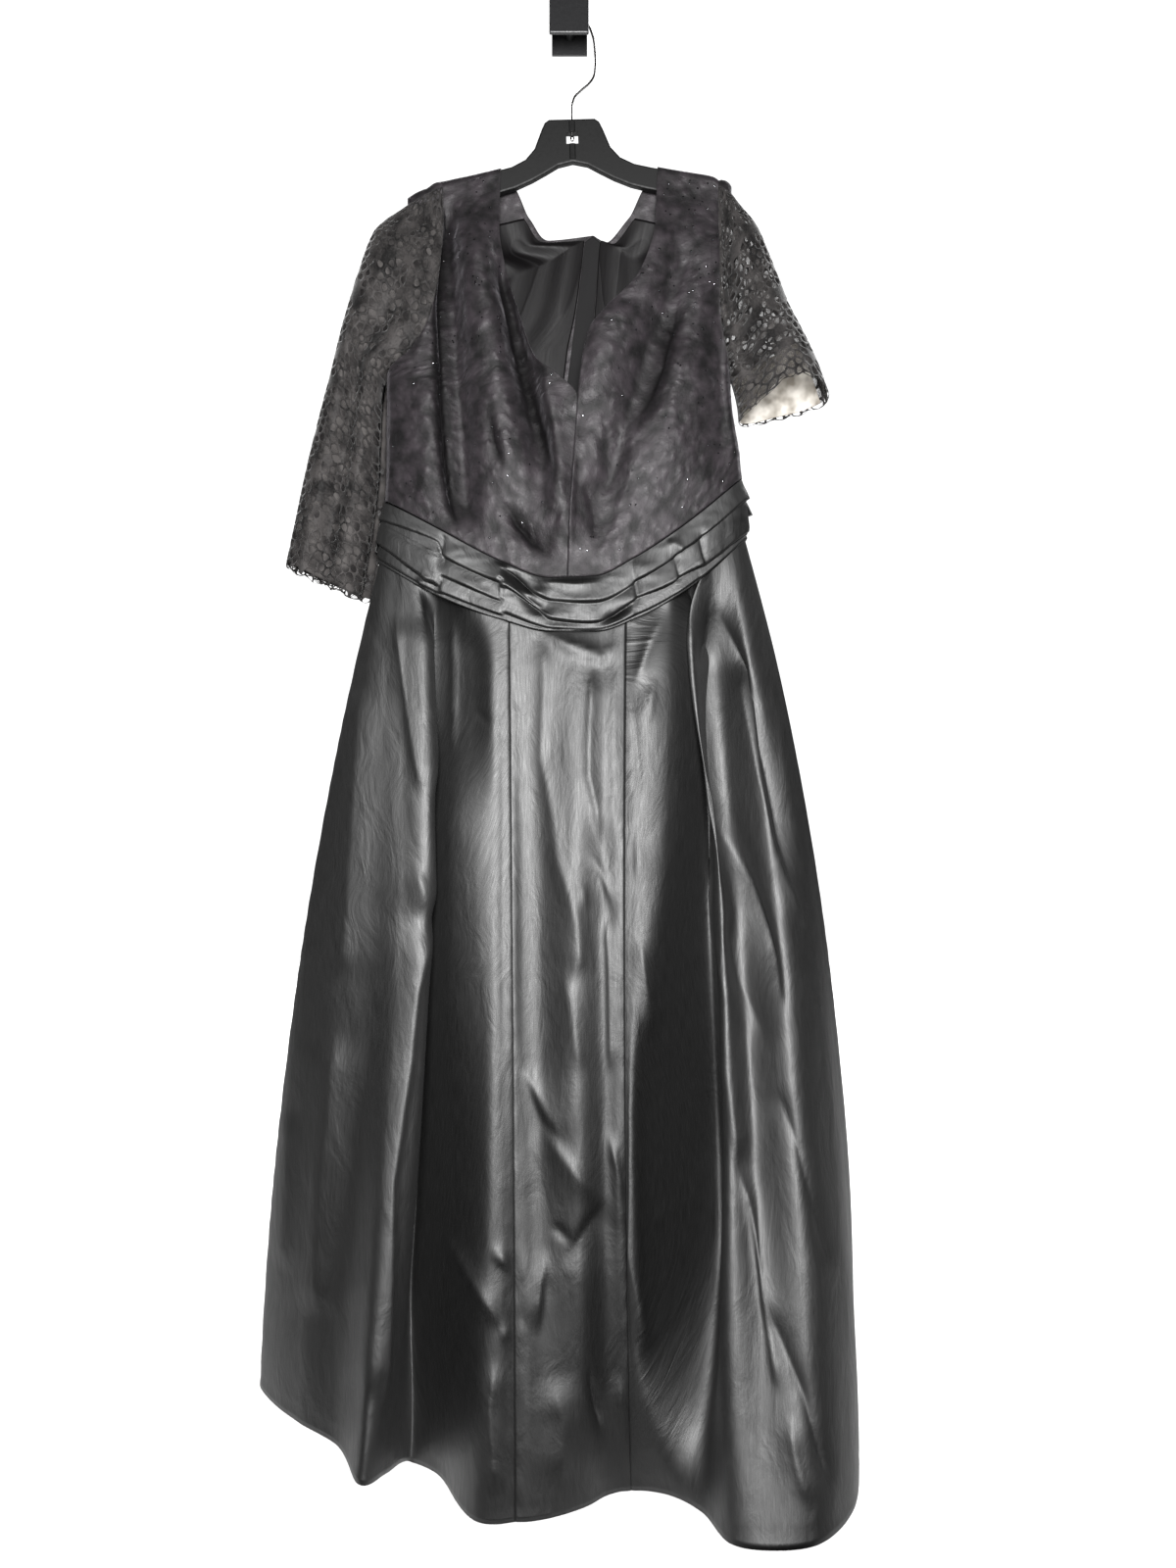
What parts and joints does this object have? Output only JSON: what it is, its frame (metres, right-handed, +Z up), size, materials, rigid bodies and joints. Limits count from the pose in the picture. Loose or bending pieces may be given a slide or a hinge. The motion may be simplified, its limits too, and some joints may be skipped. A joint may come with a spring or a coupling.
{
  "type": "mother of the bride dress on a hanger",
  "caption": "Floor-length evening dress with a lace bodice, sheer lace sleeves, a tucked waistband and a pleated A-line skirt, on a shaped hanger over a square wall hook.",
  "frame": {"origin": "middle of the wall hook's back face, which lies on the wall", "axes": "+Z up, +Y out of the dress's back into the wall, -Y the way the dress faces, +X to the right as seen from the front"},
  "size_m": [0.7208, 0.3084, 1.7519],
  "materials": {
    "lace": "matt lace",
    "satin": "satin sheen",
    "lining": "smooth lining",
    "plastic": "satin",
    "steel": "bright wire",
    "black_metal": "satin black"
  },
  "bodies": {
    "dress": {"bodice_front_left": "lace", "bodice_front_right": "lace", "bodice_back_left": "lace", "bodice_back_right": "lace", "lining_back_left": "lining", "lining_back_right": "lining", "sleeve_left_front": "lace", "sleeve_left_back": "lace", "sleeve_right_front": "lace", "sleeve_right_back": "lace", "waistband_front": "satin", "waistband_back_right": "satin", "waistband_back_left": "satin", "skirt_front_left": "satin", "skirt_front_centre": "satin", "skirt_front_right": "satin", "skirt_back_right": "satin", "skirt_back_left": "satin", "zip_tape": "lining", "zip_slider": "black_metal", "hanger_body": "plastic", "hanger_hook": "steel", "wall_hook": "black_metal"},
    "zip_pull": {"zip_pull": "black_metal"}
  },
  "joints": [
    {"name": "pull_swing", "type": "hinge", "parent": "dress", "child": "zip_pull", "pos_m": [0.02824, -0.01366, -0.26362], "axis": [1, 0, 0], "range_deg": [0, 150]}
  ]
}
